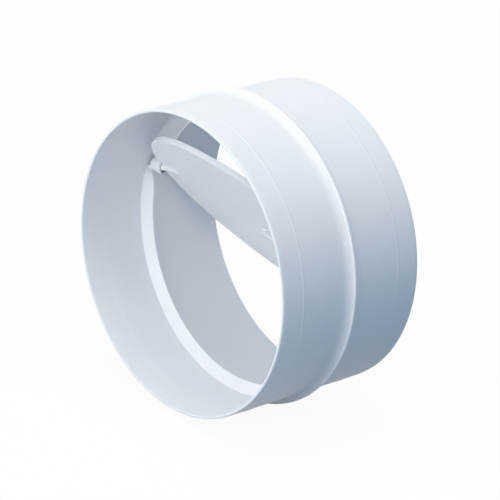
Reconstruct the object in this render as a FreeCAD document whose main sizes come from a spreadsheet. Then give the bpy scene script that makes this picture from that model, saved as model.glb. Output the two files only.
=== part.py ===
# Duct backdraft damper: a round push-fit duct connector, moulded in one piece,
# with a round flap that swings on two stub axles in snap-in bearings.
# The duct axis is Y and air flows towards +Y. The hinge is level, along X. Z is up.
# The origin is on the duct axis at the stop plane, where a duct pushed on to
# the inlet spigot meets the bead.
import FreeCAD, Part
import Sketcher
import os

doc = FreeCAD.newDocument("backdraft_damper")

# Driving dimensions, in millimetres and degrees
sizes = {
    # casing
    "casing_length": 84.0,
    "spigot_radius": 74.4,
    "wall": 1.5,
    "lead_length": 12.6,
    "lead_drop": 0.25,
    "lead_flare": 0.1,
    "bead_width": 6.2,
    "bead_top": 0.8,
    "bead_height": 3.0,
    "rim_round": 0.3,
    # seats that stop the flap
    "seat_radius": 67.3,
    "seat_land": 0.8,
    "seat_run": 3.0,
    "seat_gap": 0.3,
    "seat_root": 0.6,
    "seat_end_gap": 1.2,
    # flap
    "flap_radius": 68.4,
    "flap_rim": 2.8,
    "flap_plate": 1.6,
    "flap_rim_width": 2.2,
    "flap_edge_break": 0.5,
    "gate_radius": 2.2,
    "gate_height": 0.4,
    # hinge
    "hinge_height": 19.0,
    "hinge_offset": 2.2,
    "axle_radius": 1.9,
    "axle_reach": 6.6,
    "axle_root": 8.5,
    "open_angle": 44.3,
    # bearings
    "bearing_clearance": 0.06,
    "bearing_wall": 1.3,
    "bearing_inner": 61.6,
    "bearing_length": 6.4,
    "snap_width": 3.4,
    "shelf_thickness": 1.3,
    "shelf_half_depth": 1.8,
    "notch_gap": 0.35,
    "notch_side_gap": 0.8,
}

sheet = doc.addObject("Spreadsheet::Sheet", "Sheet")
for row, (name, value) in enumerate(sizes.items(), start=1):
    sheet.set(f"A{row}", name)
    sheet.set(f"B{row}", str(value))
    sheet.setAlias(f"B{row}", name)
doc.recompute()

# Places worked out from the driving dimensions
MIDDLE = "Sheet.bead_width / 2"
INLET_END = f"({MIDDLE} - Sheet.casing_length / 2)"
OUTLET_END = f"({MIDDLE} + Sheet.casing_length / 2)"
BORE = "(Sheet.spigot_radius - Sheet.wall)"
FLAP_FRONT = f"({MIDDLE} - Sheet.flap_rim / 2)"
FLAP_BACK = f"({MIDDLE} + Sheet.flap_rim / 2)"
AXLE_Y = f"({MIDDLE} - Sheet.hinge_offset)"
HUB_RADIUS = "(Sheet.axle_radius + Sheet.bearing_clearance + Sheet.bearing_wall)"
NOTCH_INNER = "(Sheet.bearing_inner - Sheet.notch_gap)"
SEAT_ROOT = f"({BORE} + Sheet.seat_root)"


def origin_plane(body, role):
    """One of a body's own origin planes, found by its role."""
    return next(f for f in body.Origin.OriginFeatures if f.Role == role)


def add_sketch(body, name, role, offset=None):
    """An empty sketch on an origin plane, pushed off along its normal by offset."""
    sketch = body.newObject("Sketcher::SketchObject", name)
    sketch.AttachmentSupport = [(origin_plane(body, role), "")]
    sketch.MapMode = "FlatFace"
    if offset:
        sketch.setExpression(".AttachmentOffset.Base.z", offset)
    return sketch


def place_point(sketch, geometry, corner, across, up):
    """Ties one point of a sketch to two expressions, its distances from the origin."""
    for kind, axis, size in (("DistanceX", -2, across), ("DistanceY", -1, up)):
        if size == "0":
            sketch.addConstraint(Sketcher.Constraint("PointOnObject", geometry, corner, axis))
        else:
            start = sketch.getPoint(geometry, corner)
            value = start.x if kind == "DistanceX" else start.y
            index = sketch.addConstraint(
                Sketcher.Constraint(kind, -1, 1, geometry, corner, value)
            )
            sketch.setExpression(f"Constraints[{index}]", size)


def number(expression):
    """The present value of an expression, to start a sketch near its final shape."""
    text = expression.replace("Sheet.", "")
    value = doc.Sheet.evalExpression(text)
    return float(getattr(value, "Value", value))


def add_outline(sketch, points):
    """A closed outline of straight sides through points, each a pair of expressions."""
    spots = [FreeCAD.Vector(number(a), number(b), 0) for a, b in points]
    count = len(points)
    for n in range(count):
        side = Part.LineSegment(spots[n], spots[(n + 1) % count])
        sketch.addGeometry(side, False)
    for n in range(count):
        after = (n + 1) % count
        sketch.addConstraint(Sketcher.Constraint("Coincident", n, 2, after, 1))
    for n, (across, up) in enumerate(points):
        place_point(sketch, n, 1, across, up)
    return sketch


def add_circle(sketch, across, up, radius):
    """A circle with its centre and radius tied to expressions."""
    centre = FreeCAD.Vector(number(across), number(up), 0)
    index = sketch.addGeometry(Part.Circle(centre, FreeCAD.Vector(0, 0, 1), number(radius)), False)
    place_point(sketch, index, 3, across, up)
    tie = sketch.addConstraint(Sketcher.Constraint("Radius", index, number(radius)))
    sketch.setExpression(f"Constraints[{tie}]", radius)
    return sketch


def add_revolution(body, name, sketch, angle="360", both_ways=False):
    """Turns a sketch drawn on the YZ plane about the duct axis."""
    turned = body.newObject("PartDesign::Revolution", name)
    turned.Profile = sketch
    turned.ReferenceAxis = (sketch, ["H_Axis"])
    turned.Midplane = both_ways
    turned.setExpression("Angle", angle)
    return turned


def add_pad(body, name, sketch, length, reverse=False):
    """Pads a sketch along its normal."""
    pad = body.newObject("PartDesign::Pad", name)
    pad.Profile = sketch
    pad.Reversed = reverse
    pad.setExpression("Length", length)
    return pad


def add_pocket(body, name, sketch, length, reverse=False):
    """Cuts a sketch out of the body, and fails if nothing was cut."""
    before = body.Tip.Shape.Volume
    pocket = body.newObject("PartDesign::Pocket", name)
    pocket.Profile = sketch
    pocket.Reversed = reverse
    pocket.setExpression("Length", length)
    doc.recompute()
    if pocket.Shape.Volume >= before:
        raise RuntimeError(f"{name} cuts nothing")
    return pocket


def add_mirror(body, name, features):
    """Repeats features on the other side of the YZ plane."""
    mirror = body.newObject("PartDesign::Mirrored", name)
    mirror.Originals = features
    mirror.MirrorPlane = (origin_plane(body, "YZ_Plane"), [""])
    body.Tip = mirror
    doc.recompute()
    return mirror


def round_edges(body, name, radius, wanted):
    """Rounds the edges of the body's tip that the wanted test picks."""
    base = body.Tip
    picked = [
        f"Edge{n}" for n, edge in enumerate(base.Shape.Edges, start=1) if wanted(edge)
    ]
    if not picked:
        raise RuntimeError(f"{name} finds no edge")
    fillet = body.newObject("PartDesign::Fillet", name)
    fillet.Base = (base, picked)
    fillet.setExpression("Radius", radius)
    doc.recompute()
    return fillet


def ring_edge(y, radius):
    """A test for a full circular edge about the duct axis at y."""

    def wanted(edge):
        curve = edge.Curve
        if not isinstance(curve, Part.Circle) or not edge.isClosed():
            return False
        on_axis = abs(curve.Center.x) + abs(curve.Center.z) < 0.01
        return on_axis and abs(curve.Center.y - y) < 0.01 and abs(curve.Radius - radius) < 0.01

    return wanted


def any_of(*tests):
    """A test that passes where one of several tests does."""
    return lambda edge: any(test(edge) for test in tests)


# Casing: a thin tube whose two ends are spigots, with one round bead between them
casing = doc.addObject("PartDesign::Body", "duct_body")
casing.Label = "duct_body"

BEAD_CREST = "(Sheet.spigot_radius + Sheet.bead_height)"
LEAD_OUTER = "(Sheet.spigot_radius - Sheet.lead_drop)"
LEAD_INNER = f"({BORE} + Sheet.lead_flare)"

wall_sketch = add_sketch(casing, "wall_sketch", "YZ_Plane")
add_outline(
    wall_sketch,
    [
        (INLET_END, LEAD_OUTER),
        (f"{INLET_END} + Sheet.lead_length", "Sheet.spigot_radius"),
        ("0", "Sheet.spigot_radius"),
        ("(Sheet.bead_width - Sheet.bead_top) / 2", BEAD_CREST),
        ("(Sheet.bead_width + Sheet.bead_top) / 2", BEAD_CREST),
        ("Sheet.bead_width", "Sheet.spigot_radius"),
        (f"{OUTLET_END} - Sheet.lead_length", "Sheet.spigot_radius"),
        (OUTLET_END, LEAD_OUTER),
        (OUTLET_END, LEAD_INNER),
        (f"{OUTLET_END} - Sheet.lead_length", BORE),
        (f"{INLET_END} + Sheet.lead_length", BORE),
        (INLET_END, LEAD_INNER),
    ],
)
add_revolution(casing, "tube_wall", wall_sketch)
doc.recompute()

ends = [number(INLET_END), number(OUTLET_END)]
rims = [ring_edge(y, r) for y in ends for r in (number(LEAD_OUTER), number(LEAD_INNER))]
round_edges(casing, "rim_edges", "Sheet.rim_round", any_of(*rims))

# Seats: two sloping lips inside the tube. The one below the hinge stands on the
# inlet side of the closed flap and the one above it on the outlet side.
HUB_ANGLE = "asin(Sheet.hinge_height / Sheet.seat_radius)"
END_ANGLE = f"asin(({HUB_RADIUS} + Sheet.seat_end_gap) / Sheet.seat_radius)"


def add_seat(name, side, face, arc_angle):
    """A lip that slopes from the tube wall to a flat land which faces the flap.
    side is -1 for the lip below the hinge and 1 for the one above."""
    sketch = add_sketch(casing, f"{name}_sketch", "YZ_Plane")
    away = "-" if side < 0 else "+"
    points = [
        (face, "Sheet.seat_radius"),
        (f"{face} {away} Sheet.seat_land", "Sheet.seat_radius"),
        (f"{face} {away} (Sheet.seat_land + Sheet.seat_run)", SEAT_ROOT),
        (face, SEAT_ROOT),
    ]
    sign = "-1 * " if side < 0 else ""
    add_outline(sketch, [(y, f"{sign}({r})") for y, r in points])
    return add_revolution(casing, name, sketch, arc_angle, both_ways=True)


add_seat(
    "lower_seat",
    -1,
    f"({FLAP_FRONT} - Sheet.seat_gap)",
    f"180 deg + 2 * {HUB_ANGLE} - 2 * {END_ANGLE}",
)
doc.recompute()
add_seat(
    "upper_seat",
    1,
    f"({FLAP_BACK} + Sheet.seat_gap)",
    f"180 deg - 2 * {HUB_ANGLE} - 2 * {END_ANGLE}",
)
doc.recompute()

# Bearings: on each side a level shelf from the wall carries a round hub with a
# seat for the axle, open towards the outlet so that the flap snaps in
HUB_LOW = f"(Sheet.hinge_height - {HUB_RADIUS})"
SHELF_INLET = f"({AXLE_Y} - Sheet.shelf_half_depth)"
SHELF_OUTLET = f"({AXLE_Y} + Sheet.shelf_half_depth)"
WALL_MIDDLE = "(Sheet.spigot_radius - Sheet.wall / 2)"
SHELF_REACH = f"sqrt({WALL_MIDDLE} ^ 2 - {HUB_LOW} ^ 2)"
BEARING_RADIUS = "(Sheet.axle_radius + Sheet.bearing_clearance)"
MOUTH = f"({AXLE_Y} + {HUB_RADIUS} + Sheet.bearing_wall)"

hub_sketch = add_sketch(casing, "hub_sketch", "YZ_Plane", "Sheet.bearing_inner")
add_circle(hub_sketch, AXLE_Y, "Sheet.hinge_height", HUB_RADIUS)
hub = add_pad(casing, "hub", hub_sketch, "Sheet.bearing_length")
doc.recompute()

shelf_sketch = add_sketch(casing, "shelf_sketch", "XY_Plane", HUB_LOW)
add_outline(
    shelf_sketch,
    [
        ("Sheet.bearing_inner", SHELF_INLET),
        (SHELF_REACH, SHELF_INLET),
        (SHELF_REACH, SHELF_OUTLET),
        ("Sheet.bearing_inner", SHELF_OUTLET),
    ],
)
shelf = add_pad(casing, "shelf", shelf_sketch, "Sheet.shelf_thickness")
doc.recompute()

bearing_sketch = add_sketch(casing, "bearing_sketch", "YZ_Plane", "Sheet.bearing_inner")
add_circle(bearing_sketch, AXLE_Y, "Sheet.hinge_height", BEARING_RADIUS)
bearing = add_pocket(casing, "bearing", bearing_sketch, "Sheet.bearing_length", reverse=True)

snap_sketch = add_sketch(casing, "snap_sketch", "YZ_Plane", "Sheet.bearing_inner")
add_outline(
    snap_sketch,
    [
        (MOUTH, "Sheet.hinge_height - Sheet.snap_width / 2"),
        (AXLE_Y, "Sheet.hinge_height - Sheet.snap_width / 2"),
        (AXLE_Y, "Sheet.hinge_height + Sheet.snap_width / 2"),
        (MOUTH, "Sheet.hinge_height + Sheet.snap_width / 2"),
    ],
)
snap = add_pocket(casing, "snap", snap_sketch, "Sheet.bearing_length", reverse=True)
add_mirror(casing, "other_bearing", [hub, shelf, bearing, snap])

# Flap: a thin disc with a rim turned up on its outlet face. It is drawn shut and
# stored swung open, as it stands when air pushes it.
flap = doc.addObject("PartDesign::Body", "flap")
flap.Label = "flap"

disc_sketch = add_sketch(flap, "disc_sketch", "YZ_Plane")
PLATE_BACK = f"({FLAP_FRONT} + Sheet.flap_plate)"
RIM_INNER = "(Sheet.flap_radius - Sheet.flap_rim_width)"
add_outline(
    disc_sketch,
    [
        (FLAP_FRONT, "0"),
        (FLAP_FRONT, "Sheet.flap_radius - Sheet.flap_edge_break"),
        (f"{FLAP_FRONT} + Sheet.flap_edge_break", "Sheet.flap_radius"),
        (f"{FLAP_BACK} - Sheet.flap_edge_break", "Sheet.flap_radius"),
        (FLAP_BACK, "Sheet.flap_radius - Sheet.flap_edge_break"),
        (FLAP_BACK, RIM_INNER),
        (PLATE_BACK, RIM_INNER),
        (PLATE_BACK, "0"),
    ],
)
add_revolution(flap, "disc", disc_sketch)
doc.recompute()

# A notch each side clears the hub
NOTCH_HALF = f"({HUB_RADIUS} + Sheet.notch_side_gap)"
notch_sketch = add_sketch(flap, "notch_sketch", "XZ_Plane")
add_outline(
    notch_sketch,
    [
        (NOTCH_INNER, f"Sheet.hinge_height - {NOTCH_HALF}"),
        ("Sheet.flap_radius + 1", f"Sheet.hinge_height - {NOTCH_HALF}"),
        ("Sheet.flap_radius + 1", f"Sheet.hinge_height + {NOTCH_HALF}"),
        (NOTCH_INNER, f"Sheet.hinge_height + {NOTCH_HALF}"),
    ],
)
notch = flap.newObject("PartDesign::Pocket", "notch")
notch.Profile = notch_sketch
notch.Type = "ThroughAll"
notch.Midplane = True
doc.recompute()
add_mirror(flap, "other_notch", [notch])

# Stub axles: each runs from its root on the inlet face out into the bearing
axle_sketch = add_sketch(flap, "axle_sketch", "YZ_Plane", f"{NOTCH_INNER} - Sheet.axle_root")
add_circle(axle_sketch, AXLE_Y, "Sheet.hinge_height", "Sheet.axle_radius")
axle = add_pad(flap, "axle", axle_sketch, "Sheet.axle_root + Sheet.notch_gap + Sheet.axle_reach")
doc.recompute()
add_mirror(flap, "other_axle", [axle])

# The gate mark at the middle of the inlet face
gate_sketch = add_sketch(flap, "gate_sketch", "XZ_Plane", f"-1 * {FLAP_FRONT}")
add_circle(gate_sketch, "0", "0", "Sheet.gate_radius")
add_pad(flap, "gate", gate_sketch, "Sheet.gate_height")
doc.recompute()

# The flap swings about the hinge line
flap.setExpression(
    "Placement",
    "create(<<placement>>; create(<<vector>>; 0; 0; 0);"
    " create(<<rotation>>; create(<<vector>>; 1; 0; 0); Sheet.open_angle);"
    f" create(<<vector>>; 0; {AXLE_Y}; Sheet.hinge_height))",
)
doc.recompute()

# Every feature must be sound before anything is written
for item in doc.Objects:
    if "Invalid" in item.State or "Error" in item.State:
        raise RuntimeError(f"{item.Name} failed: {item.State}")
nodes = [casing, flap]
for node in nodes:
    if node.Shape.isNull() or not node.Shape.isValid() or len(node.Shape.Solids) != 1:
        raise RuntimeError(f"{node.Label} has no sound solid")

os.makedirs("parts", exist_ok=True)
for node in nodes:
    node.Shape.exportStep(f"parts/{node.Label}.step")
    box = node.Shape.BoundBox
    print(
        node.Label,
        f"volume {node.Shape.Volume:.0f}",
        f"x {box.XMin:.2f} {box.XMax:.2f} y {box.YMin:.2f} {box.YMax:.2f}",
        f"z {box.ZMin:.2f} {box.ZMax:.2f}",
    )
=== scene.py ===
# %% [markdown]
# Duct backdraft damper
#
# This is a push-fit connector for 150 mm round duct. A thin white tube has one
# raised bead round its middle, and a round flap hangs inside it on two stub
# axles. Air coming in at the near end lifts the flap. When the air stops, the
# flap falls shut on two lips and nothing blows back.
#
# The real object is two mouldings, so the scene has two groups of pieces: the
# casing, which stays still, and the flap, which turns. Every piece is worked
# out in millimetres in the part's own frame: Y runs along the duct with the
# flow, Z is up and X lies along the hinge. Blender wants metres, so one helper
# divides by 1000 at the very end.

import math

import bpy
import numpy as np
from mathutils import Matrix, Vector


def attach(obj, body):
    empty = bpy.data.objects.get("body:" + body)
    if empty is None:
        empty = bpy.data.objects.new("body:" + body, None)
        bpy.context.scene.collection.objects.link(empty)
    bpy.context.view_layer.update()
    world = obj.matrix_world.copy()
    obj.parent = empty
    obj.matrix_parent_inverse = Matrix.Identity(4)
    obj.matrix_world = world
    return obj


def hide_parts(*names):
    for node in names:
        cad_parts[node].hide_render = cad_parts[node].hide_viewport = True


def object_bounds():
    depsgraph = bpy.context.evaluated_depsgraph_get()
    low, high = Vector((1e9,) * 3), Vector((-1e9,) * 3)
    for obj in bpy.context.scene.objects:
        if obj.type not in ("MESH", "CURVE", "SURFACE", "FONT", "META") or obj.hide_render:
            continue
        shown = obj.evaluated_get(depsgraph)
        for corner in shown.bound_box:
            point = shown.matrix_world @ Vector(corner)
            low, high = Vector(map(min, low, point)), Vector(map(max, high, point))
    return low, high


MM_PER_METRE = 1000

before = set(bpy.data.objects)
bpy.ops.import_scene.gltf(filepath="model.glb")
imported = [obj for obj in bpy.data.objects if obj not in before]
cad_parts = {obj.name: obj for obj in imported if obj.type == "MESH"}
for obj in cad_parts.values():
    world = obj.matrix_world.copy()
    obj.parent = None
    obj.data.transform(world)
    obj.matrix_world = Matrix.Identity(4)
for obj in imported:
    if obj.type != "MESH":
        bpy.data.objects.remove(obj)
cad_box = [[float(v) for v in corner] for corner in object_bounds()]
print("the CAD box in millimetres:", np.round(np.array(cad_box) * MM_PER_METRE, 1).tolist())

# %% [markdown]
# The sizes
#
# The numbers below are the ones that the part's source drives its solids with,
# so the meshes cover the solids to a fraction of a millimetre. Their edges are
# softer, because a moulded edge is never sharp, and that thin round is what
# catches the light along a rim. A few soft mould details, such as the bead's
# hollow flank and the low ends of the lips, are only in the scene. Their sizes
# stand in the cells that make them.

# %% Sizes in millimetres and radians
INLET_END, OUTLET_END = -38.9, 45.1
SPIGOT, WALL = 74.4, 1.5  # the tube's outer radius and its thickness
BORE = SPIGOT - WALL
LEAD, LEAD_DROP, LEAD_FLARE = 12.6, 0.25, 0.1  # length, drop outside, flare inside
BEAD_WIDTH, BEAD_HEIGHT = 6.2, 3.0
SEAT, SEAT_LAND, SEAT_RUN = 67.3, 0.8, 3.0  # the lips' radius, flat top and slope
SEAT_GAP = 0.3  # from a lip to the shut flap
FLAP, FLAP_THICK, FLAP_PLATE, FLAP_RIM = 68.4, 2.8, 1.6, 2.2
MIDDLE = BEAD_WIDTH / 2  # the shut flap's middle plane
HINGE_AHEAD = 2.2  # from that plane to the hinge line, towards the inlet
HINGE_Y, HINGE_Z = MIDDLE - HINGE_AHEAD, 19.0
OPEN_ANGLE = math.radians(44.3)
AXLE, AXLE_REACH, AXLE_ROOT = 1.9, 6.6, 8.5  # radius, length in the hub, length on the plate
HUB_INNER, HUB_LENGTH, HUB_RADIUS = 61.6, 6.4, 3.26
SHELF_HALF, SHELF_THICK = 1.8, 1.3
NOTCH_GAP, NOTCH_HALF = 0.35, HUB_RADIUS + 0.8
print(f"tube {2 * SPIGOT:.1f} mm across, {OUTLET_END - INLET_END:.1f} mm long")
print(f"flap {2 * FLAP:.1f} mm across, open by {math.degrees(OPEN_ANGLE):.1f} degrees")

# %% [markdown]
# Rounded corners
#
# All the forms start as an outline with sharp corners. Each corner gets its own
# radius, as the mould maker's cutter gives it. Rounding the outline before it
# is swept costs nothing later, and it is exact. A Bevel modifier would need to
# find the edges again afterwards.

# %% Round the corners of an outline
NEARLY_ONE, NEARLY_NOTHING = 0.999999, 1e-12  # keep a straight corner from dividing by zero


def rounded(rows, steps=6):
    """A closed outline from rows of (first, second, corner radius), with each
    corner swapped for an arc, or kept as it is where its radius is 0.

    The arc touches the two sides at radius / tan(half the corner's angle) from
    the corner. Its centre lies on the line that halves the corner, at
    radius / sin(half the angle). The arc's points are a spherical blend of the
    two spokes: (sin((1 - t) turn) * first + sin(t turn) * last) / sin(turn)."""
    rows = np.asarray(rows, float)
    corners, radii = rows[:, :2], rows[:, 2]
    to_last = np.roll(corners, 1, axis=0) - corners
    to_next = np.roll(corners, -1, axis=0) - corners
    to_last /= np.linalg.norm(to_last, axis=1)[:, None]
    to_next /= np.linalg.norm(to_next, axis=1)[:, None]
    cosine = (to_last * to_next).sum(1)
    angle = np.arccos(np.clip(cosine, -NEARLY_ONE, NEARLY_ONE))
    reach = radii / np.tan(angle / 2)
    half = to_last + to_next
    half /= np.maximum(np.linalg.norm(half, axis=1), NEARLY_NOTHING)[:, None]
    centre = corners + half * (radii / np.sin(angle / 2))[:, None]
    first = corners + to_last * reach[:, None] - centre
    last = corners + to_next * reach[:, None] - centre
    turn = (np.pi - angle)[:, None, None]
    t = np.linspace(0, 1, steps)[None, :, None]
    blend = np.sin((1 - t) * turn) * first[:, None] + np.sin(t * turn) * last[:, None]
    arcs = centre[:, None] + blend / np.sin(turn)
    return np.concatenate(
        [arcs[n] if radius else corners[n : n + 1] for n, radius in enumerate(radii)]
    )


# %% [markdown]
# From a grid of points to a mesh
#
# A grid with one row for each station and one column for each point of the
# section is all that a swept or turned surface needs. The faces are index
# arithmetic on whole arrays: each square joins a point, its neighbour in the
# row, and the same two points in the next row. Blender's Screw modifier turns
# an outline too, but the rows of a grid can also be changed one by one, as the
# ends of the lips are further down.

# %% Grid helpers
WELD = 1e-6  # points closer than this many metres are one point
EDGE_ANGLE = math.radians(32)  # faces that meet at more than this keep a crisp edge


def grid_faces(rows, columns, close_rows, close_columns):
    """The squares of a grid. A closed direction joins its last line to its first."""
    r = np.arange(rows if close_rows else rows - 1)[:, None]
    c = np.arange(columns if close_columns else columns - 1)[None, :]
    here = r * columns + c
    right = r * columns + (c + 1) % columns
    below = ((r + 1) % rows) * columns + c
    across = ((r + 1) % rows) * columns + (c + 1) % columns
    return np.stack([here, below, across, right], axis=-1).reshape(-1, 4).tolist()


def to_mesh(name, points, faces, material):
    """A smooth-shaded object whose points are given in millimetres."""
    points = np.asarray(points, float).reshape(-1, 3) / MM_PER_METRE
    mesh = bpy.data.meshes.new(name)
    mesh.from_pydata(points.tolist(), [], faces)
    mesh.validate()
    mesh.shade_smooth()
    mesh.materials.append(material)
    made = bpy.data.objects.new(name, mesh)
    bpy.context.collection.objects.link(made)
    return made


def set_outwards(made):
    """Turns every face outwards and keeps flat faces flat where they meet at an edge."""
    bpy.context.view_layer.objects.active = made
    bpy.ops.object.select_all(action="DESELECT")
    made.select_set(True)
    bpy.ops.object.mode_set(mode="EDIT")
    bpy.ops.mesh.select_all(action="SELECT")
    bpy.ops.mesh.remove_doubles(threshold=WELD)
    bpy.ops.mesh.normals_make_consistent(inside=False)
    bpy.ops.object.mode_set(mode="OBJECT")
    bpy.ops.object.shade_smooth_by_angle(angle=EDGE_ANGLE)
    made.select_set(False)


def report(made):
    """Prints the size of a finished piece."""
    spots = np.empty(len(made.data.vertices) * 3)
    made.data.vertices.foreach_get("co", spots)
    spots = spots.reshape(-1, 3) * MM_PER_METRE
    low, high = np.round(spots.min(0), 1).tolist(), np.round(spots.max(0), 1).tolist()
    print(f"{made.name}: {len(made.data.polygons)} faces, from {low} to {high} mm")


def grid_piece(name, grid, close_rows, close_columns, material):
    """A finished piece from a grid of points. Where the columns are closed and
    the rows aren't, the surface is a pipe, so a flat face shuts each end."""
    rows, columns = grid.shape[:2]
    faces = grid_faces(rows, columns, close_rows, close_columns)
    if close_columns and not close_rows:
        ring = np.arange(columns)
        faces += [ring.tolist(), ((rows - 1) * columns + ring[::-1]).tolist()]
    made = to_mesh(name, grid, faces, material)
    set_outwards(made)
    report(made)
    return made


# %% [markdown]
# Node maths as Python
#
# A material is a sum of masks and noises. Written as plain expressions it stays
# readable, so this small class stands for a socket and turns each operator
# into a Math node.

# %% A socket that can be added and multiplied
FIRST_COLOUR, SECOND_COLOUR, MIXED_COLOUR = 6, 7, 2  # a Mix node's sockets for colours


class Signal:
    """A number that varies over a surface, written with Python's operators."""

    def __init__(self, tree, socket):
        self.tree = tree
        self.socket = socket

    def node(self, kind, inputs, output=0, **settings):
        """Any node: its settings are set first, then its inputs by name or number."""
        made = self.tree.nodes.new(kind)
        for key, value in settings.items():
            setattr(made, key, value)
        for key, value in inputs.items():
            if isinstance(value, Signal):
                self.tree.links.new(value.socket, made.inputs[key])
            else:
                made.inputs[key].default_value = value
        return Signal(self.tree, made.outputs[output])

    def maths(self, operation, first, second):
        """One Math node with two inputs."""
        return self.node("ShaderNodeMath", {0: first, 1: second}, operation=operation)

    def __add__(self, other):
        return self.maths("ADD", self, other)

    def __radd__(self, other):
        return self.maths("ADD", other, self)

    def __sub__(self, other):
        return self.maths("SUBTRACT", self, other)

    def __rsub__(self, other):
        return self.maths("SUBTRACT", other, self)

    def __mul__(self, other):
        return self.maths("MULTIPLY", self, other)

    def __rmul__(self, other):
        return self.maths("MULTIPLY", other, self)

    def colours(self, low, high):
        """A colour between low where the signal is 0 and high where it is 1."""
        return self.node(
            "ShaderNodeMix",
            {0: self, FIRST_COLOUR: (*low, 1.0), SECOND_COLOUR: (*high, 1.0)},
            output=MIXED_COLOUR,
            data_type="RGBA",
        )


# %% [markdown]
# White moulded plastic
#
# The duct parts are white polypropylene or PVC with a slightly cool cast. Up
# close the skin isn't a mirror: the mould's fine spark finish breaks the
# highlight up, and slow flow marks make the sheen wander a little. An even
# white would look like paper, and a picture of plastic would stretch on the
# round wall. So noises that fill space do it: the colour hardly varies, the
# roughness varies slowly, and a very fine bump gives the grain. The grain is
# under 0.7 mm across and a few micrometres high.

# %% The plastic material
PALE, DEEP = (0.893, 0.899, 0.908), (0.868, 0.875, 0.886)
FLOW_SCALE, CLOUD_SCALE, GRAIN_SCALE = 22.0, 55.0, 1500.0  # patches in each metre
FLOW_DETAIL, CLOUD_DETAIL, GRAIN_DETAIL = 2.0, 3.0, 2.0
NOISE_ROUGHNESS = 0.55
FLOW_IN_COLOUR, GRAIN_IN_HEIGHT = 0.6, 0.75  # the rest is cloud, and flow
SHEEN_SPREAD = 0.10
GRAIN_STRENGTH, GRAIN_DEPTH = 0.12, 0.00006
PLASTIC_IOR, PLASTIC_SPECULAR = 1.49, 0.3
CASING_ROUGHNESS, FLAP_ROUGHNESS = 0.42, 0.46


def moulded_plastic(name, roughness):
    """White plastic: colour from deep to pale by 0.6 flow + 0.4 cloud, roughness
    spread round its value by cloud, and a bump of 0.75 grain + 0.25 flow."""
    material = bpy.data.materials.new(name)
    material.use_nodes = True
    tree = material.node_tree
    shader = tree.nodes["Principled BSDF"]
    place = Signal(tree, tree.nodes.new("ShaderNodeTexCoord").outputs["Object"])

    def noise(scale, detail):
        settings = {"Scale": scale, "Detail": detail, "Roughness": NOISE_ROUGHNESS}
        return place.node("ShaderNodeTexNoise", {"Vector": place, **settings})

    flow = noise(FLOW_SCALE, FLOW_DETAIL)
    cloud = noise(CLOUD_SCALE, CLOUD_DETAIL)
    grain = noise(GRAIN_SCALE, GRAIN_DETAIL)
    colour = (flow * FLOW_IN_COLOUR + cloud * (1 - FLOW_IN_COLOUR)).colours(DEEP, PALE)
    tree.links.new(colour.socket, shader.inputs["Base Color"])
    sheen = roughness - SHEEN_SPREAD / 2 + SHEEN_SPREAD * cloud
    tree.links.new(sheen.socket, shader.inputs["Roughness"])
    height = grain * GRAIN_IN_HEIGHT + flow * (1 - GRAIN_IN_HEIGHT)
    bump = place.node(
        "ShaderNodeBump",
        {"Strength": GRAIN_STRENGTH, "Distance": GRAIN_DEPTH, "Height": height},
    )
    tree.links.new(bump.socket, shader.inputs["Normal"])
    shader.inputs["IOR"].default_value = PLASTIC_IOR
    shader.inputs["Specular IOR Level"].default_value = PLASTIC_SPECULAR
    return material


casing_plastic = moulded_plastic("casing_plastic", CASING_ROUGHNESS)
flap_plastic = moulded_plastic("flap_plastic", FLAP_ROUGHNESS)
print("materials:", casing_plastic.name, flap_plastic.name)

# %% [markdown]
# The casing tube
#
# It is one turned form: the outline of the cut wall, carried once round the
# duct axis. A cylinder with its rings pushed in and out would do as well, but
# an outline can be read and changed like a drawing. The end of each spigot
# leads the duct on: the wall curves in a little just before the rim, and a fine
# raised line further in marks where the mould's end ring met its body. The bead
# is a low ridge that stops the duct. Its near flank is hollow, so it rises from
# the tube with no corner, and a small steep step below the crest draws the
# bright line that the photo shows. The whole outline is closed, so the tube has
# a true wall and no open edge.

# %% The outside of a spigot
LEAD_CURVE = 2.0  # the scene's lead-in curves only over its last 2 mm
RIM_ROUND = 0.4
# The raised line across: along the duct from its middle, and height
RAISED_LINE = [(-1.1, 0), (-0.65, 0), (-0.15, 0.15), (0.15, 0.15), (0.65, 0), (1.1, 0)]


def lead_in(end, inward):
    """Rows of (y, radius, corner radius) from the rim to the raised line. Over
    the last 2 mm the radius is the spigot's less the drop times u squared, where
    u runs from 0 to 1 at the rim. The points just beyond each bend keep the
    smooth shading from spreading it over the plain wall."""
    u = np.array([1.0, 0.75, 0.5, 0.25, 0.1, 0.0, -0.2])
    radius = SPIGOT - LEAD_DROP * np.maximum(u, 0) ** 2
    curve = np.stack([end + inward * LEAD_CURVE * (1 - u), radius], axis=1)
    line = np.array(RAISED_LINE) * (inward, 1) + (end + inward * LEAD, SPIGOT)
    spots = np.concatenate([curve, line])
    corner_radius = np.zeros((len(spots), 1))
    corner_radius[0] = RIM_ROUND
    return np.hstack([spots, corner_radius])


print(f"the lead-in has {len(lead_in(INLET_END, 1))} points")

# %% The bead and the inside of the wall
FLANK_START, STEP_START = -2.5, 2.3
STEP_HEIGHT, FLANK_POWER = 2.0, 2.5
BEFORE_BEAD = (-3.5, 0.0, 0.0)
# Rows of (y, height above the spigot, corner radius): the step's foot, both
# edges of the crest, the far foot, and a last point on the plain wall
BEAD_BACK = [
    (STEP_START, STEP_HEIGHT, 0.2),
    (2.75, BEAD_HEIGHT, 0.25),
    (4.2, BEAD_HEIGHT - 0.35, 0.8),
    (6.7, 0.0, 1.5),
    (8.4, 0.0, 0.0),
]
# The step inside the wall where the lead-in starts: rows of (y inwards, rise)
INNER_STEP = [(1.1, 0.0), (0.5, 0.0), (0.0, 0.08), (-0.5, 0.08)]


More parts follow.
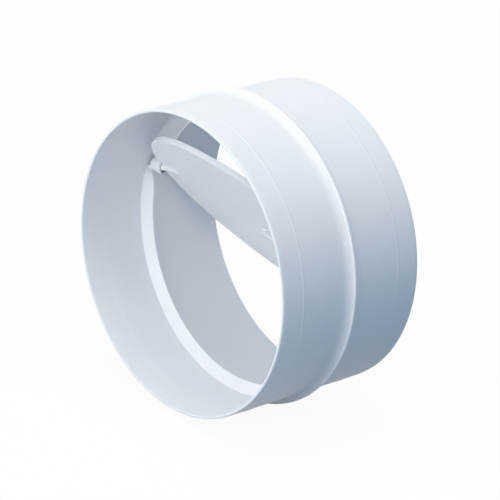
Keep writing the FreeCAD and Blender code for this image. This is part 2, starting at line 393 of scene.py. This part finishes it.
def near_flank():
    """The bead's flank towards the inlet: the height is 2 mm times t to the
    power 2.5, where t runs from 0 at the foot to 1 at the step below the crest."""
    t = np.linspace(0, 1, 13)[:-1]
    y = FLANK_START + (STEP_START - FLANK_START) * t
    return np.stack([y, STEP_HEIGHT * t**FLANK_POWER, 0 * t], axis=1)


bead = np.concatenate([[BEFORE_BEAD], near_flank(), BEAD_BACK]) + (0, SPIGOT, 0)
inside = [(OUTLET_END, BORE + LEAD_FLARE, RIM_ROUND)]
inside += [(OUTLET_END - LEAD - y, BORE + rise, 0.0) for y, rise in reversed(INNER_STEP)]
inside += [(INLET_END + LEAD + y, BORE + rise, 0.0) for y, rise in INNER_STEP]
inside += [(INLET_END, BORE + LEAD_FLARE, RIM_ROUND)]
wall_rows = np.concatenate([lead_in(INLET_END, 1), bead, lead_in(OUTLET_END, -1)[::-1], inside])
print(f"the wall's outline has {len(wall_rows)} corners, up to radius {wall_rows[:, 1].max():.2f}")

# %% Turn the tube
TUBE_STEPS, WALL_CORNER_STEPS = 480, 10


def turned(profile, steps, start=0.0, end=2 * math.pi):
    """Carries an outline of (y, radius) pairs round the duct axis. At angle a a
    point lies at x = radius * sin a, z = radius * cos a, so 0 is straight up."""
    whole = math.isclose(end - start, 2 * math.pi)
    a = np.linspace(start, end, steps, endpoint=not whole)[:, None]
    y, radius = profile[:, 0][None, :], profile[:, 1][None, :]
    return np.stack([radius * np.sin(a), y + 0 * a, radius * np.cos(a)], axis=-1)


wall_grid = turned(rounded(wall_rows, WALL_CORNER_STEPS), TUBE_STEPS)
tube = grid_piece("casing_tube", wall_grid, True, True, casing_plastic)

# %% [markdown]
# The seats
#
# Two lips stop the flap when it shuts. Below the hinge the flap swings towards
# the outlet, so that lip stands on its inlet side. Above the hinge it is the
# other way round. Each lip is a small section carried over part of the circle.
# A cut ring would do for the middle of a lip, but towards the bearings the real
# lips run out lower and lower, so they fade and don't end in a cut, and a grid
# can be lowered there row by row.
#
# The lower lip slopes down to the wall on the side that shows. The upper one
# has a hollow ramp in front of its face, outside the flap's edge. The tip of
# each of these two slopes lies 0.25 mm inside the wall, so that the lip dips
# into the wall at an angle. Two skins that lie on each other would flicker.

# %% Sweep a seat lip
LIP_STEPS = 320
RUN_OUT, RUN_OUT_LOSS = 0.2, 0.9  # radians of the angle, and the share of the height


def seat_lip(name, rows, start, end):
    """Carries an outline of (y, radius, corner radius) rows from start to end.
    Over the first and last 0.2 radians the height above the wall is multiplied
    by 1 - 0.9 (1 - w) squared, where w grows from 0 at the end to 1."""
    grid = turned(rounded(rows), LIP_STEPS, start, end)
    a = np.linspace(start, end, LIP_STEPS)
    w = np.clip(np.minimum(a - start, end - a) / RUN_OUT, 0, 1)
    share = (1 - RUN_OUT_LOSS * (1 - w) ** 2)[:, None]
    radius = np.hypot(grid[..., 0], grid[..., 2])
    lowered = np.where(radius < BORE, BORE - (BORE - radius) * share, radius)
    grid[..., 0] *= lowered / radius
    grid[..., 2] *= lowered / radius
    return grid_piece(name, grid, False, True, casing_plastic)


# %% The lower and the upper lip
lower_face = MIDDLE - FLAP_THICK / 2 - SEAT_GAP
upper_face = MIDDLE + FLAP_THICK / 2 + SEAT_GAP
TIP_LENGTH, TIP_BURY = 2.4, 0.25  # the part of a slope that dips into the wall
foot = BORE + 0.5  # where a lip's hidden back lies, inside the wall
RAMP, RAMP_STEP = 7.0, 0.8  # the upper ramp's length, and the face left above it
HUB_SPARE = 1.2  # from a hub to a lip's end

slope_end = lower_face - SEAT_LAND - SEAT_RUN
lower_rows = [
    (lower_face, SEAT, 0.25),
    (lower_face - SEAT_LAND, SEAT, 0.4),
    (slope_end, BORE, 1.2),
    (slope_end - TIP_LENGTH, BORE + TIP_BURY, 0),
    (slope_end, foot, 0),
    (lower_face, foot, 0),
]
upper_rows = [
    (upper_face, SEAT, 0.3),
    (upper_face + SEAT_LAND, SEAT, 0.4),
    (upper_face + SEAT_LAND + SEAT_RUN, BORE, 0),
    (upper_face, foot, 0),
    (upper_face - RAMP, foot, 0),
    (upper_face - RAMP - TIP_LENGTH, BORE + TIP_BURY, 0),
    (upper_face - RAMP, BORE, 7.0),
    (upper_face, SEAT + RAMP_STEP, 0.6),
]
hinge_turn = math.acos(HINGE_Z / SEAT)
end_turn = math.asin((HUB_RADIUS + HUB_SPARE) / SEAT)
upper_end = hinge_turn - end_turn
lower_start = hinge_turn + end_turn
lower_seat = seat_lip("lower_seat", lower_rows, lower_start, 2 * math.pi - lower_start)
upper_seat = seat_lip("upper_seat", upper_rows, -upper_end, upper_end)

# %% [markdown]
# The bearings
#
# On each side a round hub stands on a thin level shelf that grows from the
# wall. The hub has a round seat with a mouth towards the outlet, a little
# narrower than the axle, so the flap is pushed in and stays. A Boolean could
# cut the mouth out of a ring, but it leaves odd faces at the cut. So the hub is
# a C-shaped outline carried along X, and the shelf is a rounded plate.

# %% Extrude a section along the hinge
END_SOFT, END_SHARE = 0.2, 0.3


def extruded(name, section, start, end):
    """Carries a closed (y, z) outline along X from start to end. The stations
    next to the ends are drawn in by 0.2 mm and 0.3 of that, which rounds the
    two end edges. Inwards is square to the line from one neighbour of a point
    to the other, and the outline's signed area says on which side."""
    soft, less = END_SOFT, END_SOFT * END_SHARE
    stations = np.array([start, start + less, start + soft, end - soft, end - less, end])
    draw = np.array([soft, less, 0, 0, less, soft])
    sides = np.roll(section, -1, axis=0) - np.roll(section, 1, axis=0)
    sides /= np.linalg.norm(sides, axis=1)[:, None]
    inward = np.stack([-sides[:, 1], sides[:, 0]], axis=1)
    y, z = section.T
    inward *= np.sign((y * np.roll(z, -1) - np.roll(y, -1) * z).sum())
    rings = section[None] + inward[None] * draw[:, None, None]
    x = np.broadcast_to(stations[:, None], rings.shape[:2])
    grid = np.stack([x, rings[..., 0], rings[..., 1]], axis=-1)
    return grid_piece(name, grid, False, True, casing_plastic)


# %% The hubs and shelves
BEARING_GAP, MOUTH_HALF = 0.06, 1.7
SHELF_ROUND = 0.25


def hub_outline():
    """The C of the hub: the outer circle, and the seat inside it joined by a
    mouth 3.4 mm wide that opens towards the outlet, the +Y side."""
    seat = AXLE + BEARING_GAP
    outer_gap = math.asin(MOUTH_HALF / HUB_RADIUS)
    inner_gap = math.asin(MOUTH_HALF / seat)
    around = np.linspace(outer_gap, 2 * math.pi - outer_gap, 49)
    back = np.linspace(2 * math.pi - inner_gap, inner_gap, 37)
    a = np.concatenate([around, back])
    radius = np.concatenate([0 * around + HUB_RADIUS, 0 * back + seat])
    return np.stack([HINGE_Y + radius * np.cos(a), HINGE_Z + radius * np.sin(a)], axis=1)


shelf_low = HINGE_Z - HUB_RADIUS
shelf_high = shelf_low + SHELF_THICK
shelf_reach = math.sqrt((SPIGOT - WALL / 2) ** 2 - shelf_low**2)
shelf_rows = [
    (HINGE_Y - SHELF_HALF, shelf_low, SHELF_ROUND),
    (HINGE_Y + SHELF_HALF, shelf_low, SHELF_ROUND),
    (HINGE_Y + SHELF_HALF, shelf_high, SHELF_ROUND),
    (HINGE_Y - SHELF_HALF, shelf_high, SHELF_ROUND),
]
bearings = []
for label, side in (("right", 1), ("left", -1)):
    span = sorted((side * HUB_INNER, side * (HUB_INNER + HUB_LENGTH)))
    bearings.append(extruded(f"{label}_hub", hub_outline(), *span))
    span = sorted((side * HUB_INNER, side * shelf_reach))
    bearings.append(extruded(f"{label}_shelf", rounded(shelf_rows), *span))

# %% [markdown]
# The flap
#
# The flap is a round plate with a raised rim on its outlet face. Each side has
# a notch that clears the hub, and a stub axle that crosses the notch. A disc
# with two notches cut by Booleans would have long thin faces across it, which
# shade badly. So the plate is a polar grid: the first number is the direction
# and the second runs from the middle of one face, over the edge, to the middle
# of the other. Only the outer edge knows about the notch.

# %% The flap's reach in each direction
notch_inner = HUB_INNER - NOTCH_GAP
notch_low, notch_high = HINGE_Z - NOTCH_HALF, HINGE_Z + NOTCH_HALF
notch_first = math.asin(notch_low / FLAP)
notch_corner = math.atan2(notch_low, notch_inner)
notch_last = math.atan2(notch_high, notch_inner)
NOTCH_STEP = 1e-5  # the two directions on either side of the notch's upper end
DIRECTION_DIGITS = 7


def edge_radius(direction):
    """How far the flap reaches in a direction measured from +X towards +Z.

    It is the full radius or, where the direction crosses the notch, the distance
    to the notch's inner wall, x / cos(direction), or to its lower wall,
    z / sin(direction)."""
    fold = np.where(np.cos(direction) < 0, np.pi - direction, direction)
    fold = (fold + np.pi) % (2 * np.pi) - np.pi
    with np.errstate(divide="ignore", invalid="ignore"):
        to_inner_wall = notch_inner / np.cos(fold)
        to_lower_wall = notch_low / np.sin(fold)
    reach = np.where((fold > notch_first) & (fold < notch_corner), to_lower_wall, FLAP)
    return np.where((fold >= notch_corner) & (fold <= notch_last), to_inner_wall, reach)


marks = [notch_first, notch_corner, notch_last - NOTCH_STEP, notch_last + NOTCH_STEP]
at_notch = np.concatenate([marks, np.linspace(notch_first, notch_last, 24)])
spread = np.linspace(0, 2 * math.pi, 360, endpoint=False)
directions = np.concatenate([spread, at_notch, math.pi - at_notch])
directions = np.unique(np.round(directions, DIRECTION_DIGITS))
reach = edge_radius(directions)
print(f"flap plate: {len(directions)} directions, reach {reach.min():.2f} to {reach.max():.2f} mm")

# %% Build the flap's plate
QUARTER = np.linspace(0, math.pi / 2, 7)  # the angles of a rounded edge
RISING, FALLING = np.sin(QUARTER), np.cos(QUARTER)
EDGE_ROUND, RIM_UNDERCUT, RIM_FILLET = 0.35, 0.3, 0.4
RING_SHARES = (0.0, 0.25, 0.5, 0.75, 0.9)


def flap_section():
    """The half section of the plate as (share of the way out, step in from the
    edge, y) rows. y is measured from the plate's middle plane. Both outer edges
    are quarter circles, the rim's inner edge is a hollow one, which leaves an
    undercut, and a fillet joins it to the plate."""
    back, front = FLAP_THICK / 2, -FLAP_THICK / 2
    plate = front + FLAP_PLATE
    edges = [
        (EDGE_ROUND * (1 - RISING), front + EDGE_ROUND * (1 - FALLING)),
        (EDGE_ROUND * (1 - FALLING), back - EDGE_ROUND * (1 - RISING)),
        (FLAP_RIM - RIM_UNDERCUT * RISING, back - RIM_UNDERCUT * (1 - FALLING)),
        (FLAP_RIM + RIM_FILLET * (1 - FALLING), plate + RIM_FILLET * (1 - RISING)),
    ]
    outer = [np.stack([0 * inset + 1, inset, y], axis=1) for inset, y in edges]
    near_face = [[(share, 0.0, front) for share in RING_SHARES]]
    far_face = [[(share, 0.0, plate) for share in reversed(RING_SHARES)]]
    return np.concatenate(near_face + outer + far_face)


def swing(points):
    """Turns the shut flap to its rest pose: y and z turn about the hinge."""
    y, z = points[..., 1] - HINGE_Y, points[..., 2] - HINGE_Z
    c, s = math.cos(OPEN_ANGLE), math.sin(OPEN_ANGLE)
    return np.stack([points[..., 0], HINGE_Y + c * y - s * z, HINGE_Z + s * y + c * z], axis=-1)


share, inset, height = flap_section().T
radius = share * reach[:, None] - inset
across = radius * np.cos(directions)[:, None]
upright = radius * np.sin(directions)[:, None]
plate_grid = np.stack([across, MIDDLE + height + 0 * radius, upright], axis=-1)
plate = grid_piece("flap_plate", swing(plate_grid), True, False, flap_plastic)

# %% [markdown]
# Axles and the gate mark
#
# The stub axles are in one piece with the plate and half sunk in it, so on the
# inlet face each root shows as a short rib that tapers to its end. The gate mark
# is the small round scar where the plastic entered the mould, with the pip of
# the gate in its middle. Round it lies the edge of a shallow dimple, which shows
# as a fine ridge that is highest below the gate. All of them are turned forms
# that start inside the plate. Joining them to its skin point by point would be
# more work, and nobody could see the difference.

# %% Turn the axles
ROUND_STEPS = 40
TIP_ROUND = 0.5
RIDGE_PAST, RIDGE_RADIUS, RIDGE_SHIFT = 2.5, 0.8, 0.9
# The root's taper: rows of (distance inwards from the notch, radius, shift)
ROOT_TAPER = [(3.5, 1.15, 0.55), (1.2, 1.6, 0.2), (0.0, AXLE, 0.0)]


def stub_axle(name, side):
    """A bar turned from an outline of (x, radius, shift) rows. Over the bearing
    it is a plain round bar about the hinge line with a rounded tip. From the
    notch inwards it tapers, and its centre moves by the shift into the plate, so
    it ends as a low ridge on the face."""
    tip, root = HUB_INNER + AXLE_REACH, notch_inner - AXLE_ROOT - RIDGE_PAST
    ridge = [root + RIDGE_RADIUS * (1 - FALLING), RIDGE_RADIUS * RISING, 0 * QUARTER + RIDGE_SHIFT]
    taper = [(notch_inner - inwards, radius, shift) for inwards, radius, shift in ROOT_TAPER]
    end = [tip - TIP_ROUND * (1 - RISING), AXLE - TIP_ROUND * (1 - FALLING), 0 * QUARTER]
    rows = [np.stack(ridge, axis=1), taper, np.stack(end, axis=1), [(tip, 0.0, 0.0)]]
    x, r, shift = np.concatenate(rows).T
    a = np.linspace(0, 2 * math.pi, ROUND_STEPS, endpoint=False)[:, None]
    y, z = HINGE_Y + shift + r * np.cos(a), HINGE_Z + r * np.sin(a)
    grid = np.stack([side * x + 0 * a, y, z], axis=-1)
    return grid_piece(name, swing(grid), True, False, flap_plastic)


axles = [stub_axle("right_axle", 1), stub_axle("left_axle", -1)]

# %% The gate mark
GATE_RADIUS, GATE_HEIGHT = 2.2, 0.4
# The hidden base, and the pip: rows of (radius, height above the face)
GATE_BASE = [(0.0, -0.4), (2.2, -0.4)]
PIP = [(1.3, 0.4), (1.15, 0.9), (0.8, 1.15), (0.0, 1.25)]
inlet_face = MIDDLE - FLAP_THICK / 2

gate_edge = [GATE_RADIUS - GATE_HEIGHT * (1 - FALLING), GATE_HEIGHT * RISING]
r, rise = np.concatenate([GATE_BASE, np.stack(gate_edge, axis=1), PIP]).T
a = np.linspace(0, 2 * math.pi, ROUND_STEPS, endpoint=False)[:, None]
gate_grid = np.stack([r * np.cos(a), inlet_face - rise + 0 * a, r * np.sin(a)], axis=-1)
gate = grid_piece("gate_mark", swing(gate_grid), True, False, flap_plastic)

# %% The ridge round the gate
DIMPLE_RADIUS, RIDGE_HALF_WIDTH, RIDGE_STAND = 10.0, 0.8, 0.75
RIDGE_BURY, RIDGE_DIP = 0.25, 0.1


def gate_ridge():
    """A fine ridge of 10 mm radius round the gate. Across it is half an ellipse
    that starts 0.25 mm inside the plate. Its top goes from 0.75 mm above the
    face, below the gate, to 0.1 mm under the face, above the gate, with the
    share (1 - sin(direction)) / 2."""
    around = np.linspace(0, 2 * math.pi, 96, endpoint=False)[:, None]
    t = np.linspace(-math.pi / 2, math.pi / 2, 11)[None, :]
    stand = (RIDGE_STAND + RIDGE_DIP) * (1 - np.sin(around)) / 2 - RIDGE_DIP
    y = inlet_face + RIDGE_BURY - (RIDGE_BURY + stand) * np.cos(t)
    r = DIMPLE_RADIUS + RIDGE_HALF_WIDTH * np.sin(t)
    grid = np.stack([r * np.cos(around), y, r * np.sin(around)], axis=-1)
    return grid_piece("gate_ring", swing(grid), True, True, flap_plastic)


gate_rim = gate_ridge()

# %% [markdown]
# Which piece moves with what
#
# The casing's pieces stay with the casing and stand for its solid. The flap's
# pieces turn with the flap. Nothing is parented or keyed here: the calls below
# only say which body of the model carries each piece, and the poses follow.

# %% Rides
casing_pieces = [tube, lower_seat, upper_seat, *bearings]
flap_pieces = [plate, *axles, gate, gate_rim]
for piece in casing_pieces:
    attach(piece, "casing")
    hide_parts("duct_body")
for piece in flap_pieces:
    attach(piece, "flap")
    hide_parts("flap")
print(f"{len(casing_pieces)} pieces on the casing, {len(flap_pieces)} on the flap")

# %% [markdown]
# Floor, light and camera
#
# The photo is a studio picture on pure white. More light on the backdrop would
# also fall on the object. So the floor and the world answer camera rays with
# white, and other rays with a muted grey or blue, and the white behind the
# object adds no light to it. The floor keeps a soft shadow.

# %% What the camera sees
WHITE = (1.0, 1.0, 1.0)


def seen_by_camera(tree):
    """1 for a camera, glossy or transmission ray, and 0 for any other."""
    path = tree.nodes.new("ShaderNodeLightPath")
    kinds = ("Is Camera Ray", "Is Glossy Ray", "Is Transmission Ray")
    camera_ray, glossy, through = [Signal(tree, path.outputs[kind]) for kind in kinds]
    direct = camera_ray.maths("MAXIMUM", camera_ray, glossy)
    return camera_ray.maths("MAXIMUM", direct, through)


def mixed(tree, factor, first, second):
    """Where the factor is 0 the first shader, and where it is 1 the second."""
    mix = tree.nodes.new("ShaderNodeMixShader")
    if isinstance(factor, Signal):
        tree.links.new(factor.socket, mix.inputs[0])
    else:
        mix.inputs[0].default_value = factor
    tree.links.new(first.outputs[0], mix.inputs[1])
    tree.links.new(second.outputs[0], mix.inputs[2])
    return mix


def one_shader(tree, kind, colour):
    """A shader of one plain colour."""
    made = tree.nodes.new(kind)
    made.inputs["Color"].default_value = (*colour, 1.0)
    return made


# %% The white floor
# Painted shade: other rays meet the deep grey under and behind the casing and the pale grey in
# front of the inlet
FLOOR_PALE, FLOOR_PAINTED_SHADE = (0.47, 0.52, 0.565), (0.14, 0.2, 0.27)
WHITE_SHARE = 0.94
SHADE_START, SHADE_RATE = 0.09, 14.0  # metres before the stop plane, share in each metre
FLOOR_HALF, FLOOR_GAP = 3000.0, 0.2


def white_floor():
    """The camera sees a share of pure white and the rest as white matt paper,
    which takes the object's shadow. Other rays meet a pale grey in front of the
    inlet and a deep grey under and behind the casing: that is painted shade.
    The change is a clamped ramp along Y: (y + 0.09) times 14, from 0 to 1."""
    material = bpy.data.materials.new("studio_floor")
    material.use_nodes = True
    tree = material.node_tree
    tree.nodes.clear()
    paper = one_shader(tree, "ShaderNodeBsdfDiffuse", WHITE)
    glow = one_shader(tree, "ShaderNodeEmission", WHITE)
    place = Signal(tree, tree.nodes.new("ShaderNodeTexCoord").outputs["Object"])
    along = place.node("ShaderNodeSeparateXYZ", {0: place}, output=1)
    ramp = {0: along + SHADE_START, 1: SHADE_RATE}
    painted_shade_ramp = along.node("ShaderNodeMath", ramp, operation="MULTIPLY", use_clamp=True)
    bright_part = one_shader(tree, "ShaderNodeBsdfDiffuse", FLOOR_PALE)
    painted_shade_part = one_shader(tree, "ShaderNodeBsdfDiffuse", FLOOR_PAINTED_SHADE)
    # Painted shade: along Y the floor's grey for other rays turns from pale to deep under and
    # behind the casing
    plain = mixed(tree, painted_shade_ramp, bright_part, painted_shade_part)
    shown = mixed(tree, seen_by_camera(tree), plain, mixed(tree, WHITE_SHARE, paper, glow))
    output = tree.nodes.new("ShaderNodeOutputMaterial")
    tree.links.new(shown.outputs[0], output.inputs["Surface"])
    return material


floor_z = cad_box[0][2] * MM_PER_METRE - FLOOR_GAP
ways = ((-1, -1), (1, -1), (1, 1), (-1, 1))
floor_corners = [(x * FLOOR_HALF, y * FLOOR_HALF, floor_z) for x, y in ways]
floor = to_mesh("floor", floor_corners, [[0, 1, 2, 3]], white_floor())
report(floor)

# %% The world behind it
WORLD_FILL = (0.235, 0.34, 0.475)
world = bpy.data.worlds.new("studio_world")
bpy.context.scene.world = world
world.use_nodes = True
tree = world.node_tree
tree.nodes.clear()
fill = one_shader(tree, "ShaderNodeBackground", WORLD_FILL)
white = one_shader(tree, "ShaderNodeBackground", WHITE)
shown = mixed(tree, seen_by_camera(tree), fill, white)
output = tree.nodes.new("ShaderNodeOutputWorld")
tree.links.new(shown.outputs[0], output.inputs["Surface"])
print("world:", world.name, "fill", WORLD_FILL)

# %% [markdown]
# The lamps
#
# A large warm lamp overhead makes the top of the tube the lightest part. Lamps
# in front light the inside through the inlet, one behind lights it through the
# outlet, and weak cool ones on the right keep the outer side blue-grey. They
# are all square area lamps, because a softbox in a studio is one, and its soft
# edge is what makes a white part look round.

# %% The lamps
# Rows of name, place in metres, width in metres, watts and colour
LAMPS = [
    ("top_light", (0.0, -0.1, 1.2), 0.8, 7.1, (1.0, 0.91, 0.76)),
    ("front_high_light", (0.2, -0.9, 0.9), 0.6, 2.6, (1.0, 0.91, 0.76)),
    ("front_low_light", (0.0, -1.4, 0.05), 0.3, 4.5, (1.0, 0.97, 0.92)),
    ("front_middle_light", (0.0, -1.3, 0.5), 0.4, 1.8, (1.0, 0.95, 0.87)),
    ("low_right_light", (0.35, -1.3, 0.1), 0.6, 1.1, (0.9, 0.96, 1.0)),
    ("right_light", (1.1, -0.65, 0.6), 0.8, 1.15, (0.82, 0.92, 1.0)),
    ("left_light", (-1.2, -0.6, 0.3), 0.5, 1.8, (1.0, 0.97, 0.94)),
    ("back_light", (0.3, 0.9, 0.8), 0.6, 1.0, (1.0, 0.93, 0.85)),
    ("outlet_light", (-0.25, 1.4, 0.08), 0.4, 3.0, (1.0, 0.96, 0.9)),
]


def softbox(name, place, width, watts, colour):
    """A square lamp at place, turned to face the part's origin."""
    lamp = bpy.data.lights.new(name, "AREA")
    lamp.shape = "SQUARE"
    lamp.size = width
    lamp.energy = watts
    lamp.color = colour
    made = bpy.data.objects.new(name, lamp)
    bpy.context.collection.objects.link(made)
    facing = (-Vector(place)).to_track_quat("-Z", "Y")
    made.matrix_world = Matrix.Translation(place) @ facing.to_matrix().to_4x4()


for lamp_row in LAMPS:
    softbox(*lamp_row)
print(f"{len(LAMPS)} lamps, {sum(row[3] for row in LAMPS):.2f} watts")

# %% [markdown]
# The camera
#
# The rims' and the bead's ellipses in the photo fix the view: the camera looks
# 47 degrees round from the flow and 24 degrees down, rolled by about 5 degrees,
# through a long lens. A Track To constraint can't roll the camera, so its
# direction is given as a matrix. The three columns are its right, up and back
# directions in the part's frame.

# %% Set the camera
LENS, SENSOR, FURTHEST = 216.0, 36.0, 20.0
CAMERA_PLACE = (0.95944, -0.88327, 0.5852)
CAMERA_TURN = (
    (0.65068, -0.35918, 0.66903),
    (0.7551, 0.21297, -0.62005),
    (0.08023, 0.90864, 0.4098),
)
camera_data = bpy.data.cameras.new("camera")
camera_data.lens = LENS
camera_data.sensor_width = SENSOR
camera_data.clip_end = FURTHEST
camera = bpy.data.objects.new("camera", camera_data)
bpy.context.collection.objects.link(camera)
camera.matrix_world = Matrix.Translation(CAMERA_PLACE) @ Matrix(CAMERA_TURN).to_4x4()
bpy.context.scene.camera = camera
bpy.context.scene.view_settings.view_transform = "Standard"
print(f"camera {Vector(CAMERA_PLACE).length:.2f} m from the origin, lens {LENS:.0f} mm")
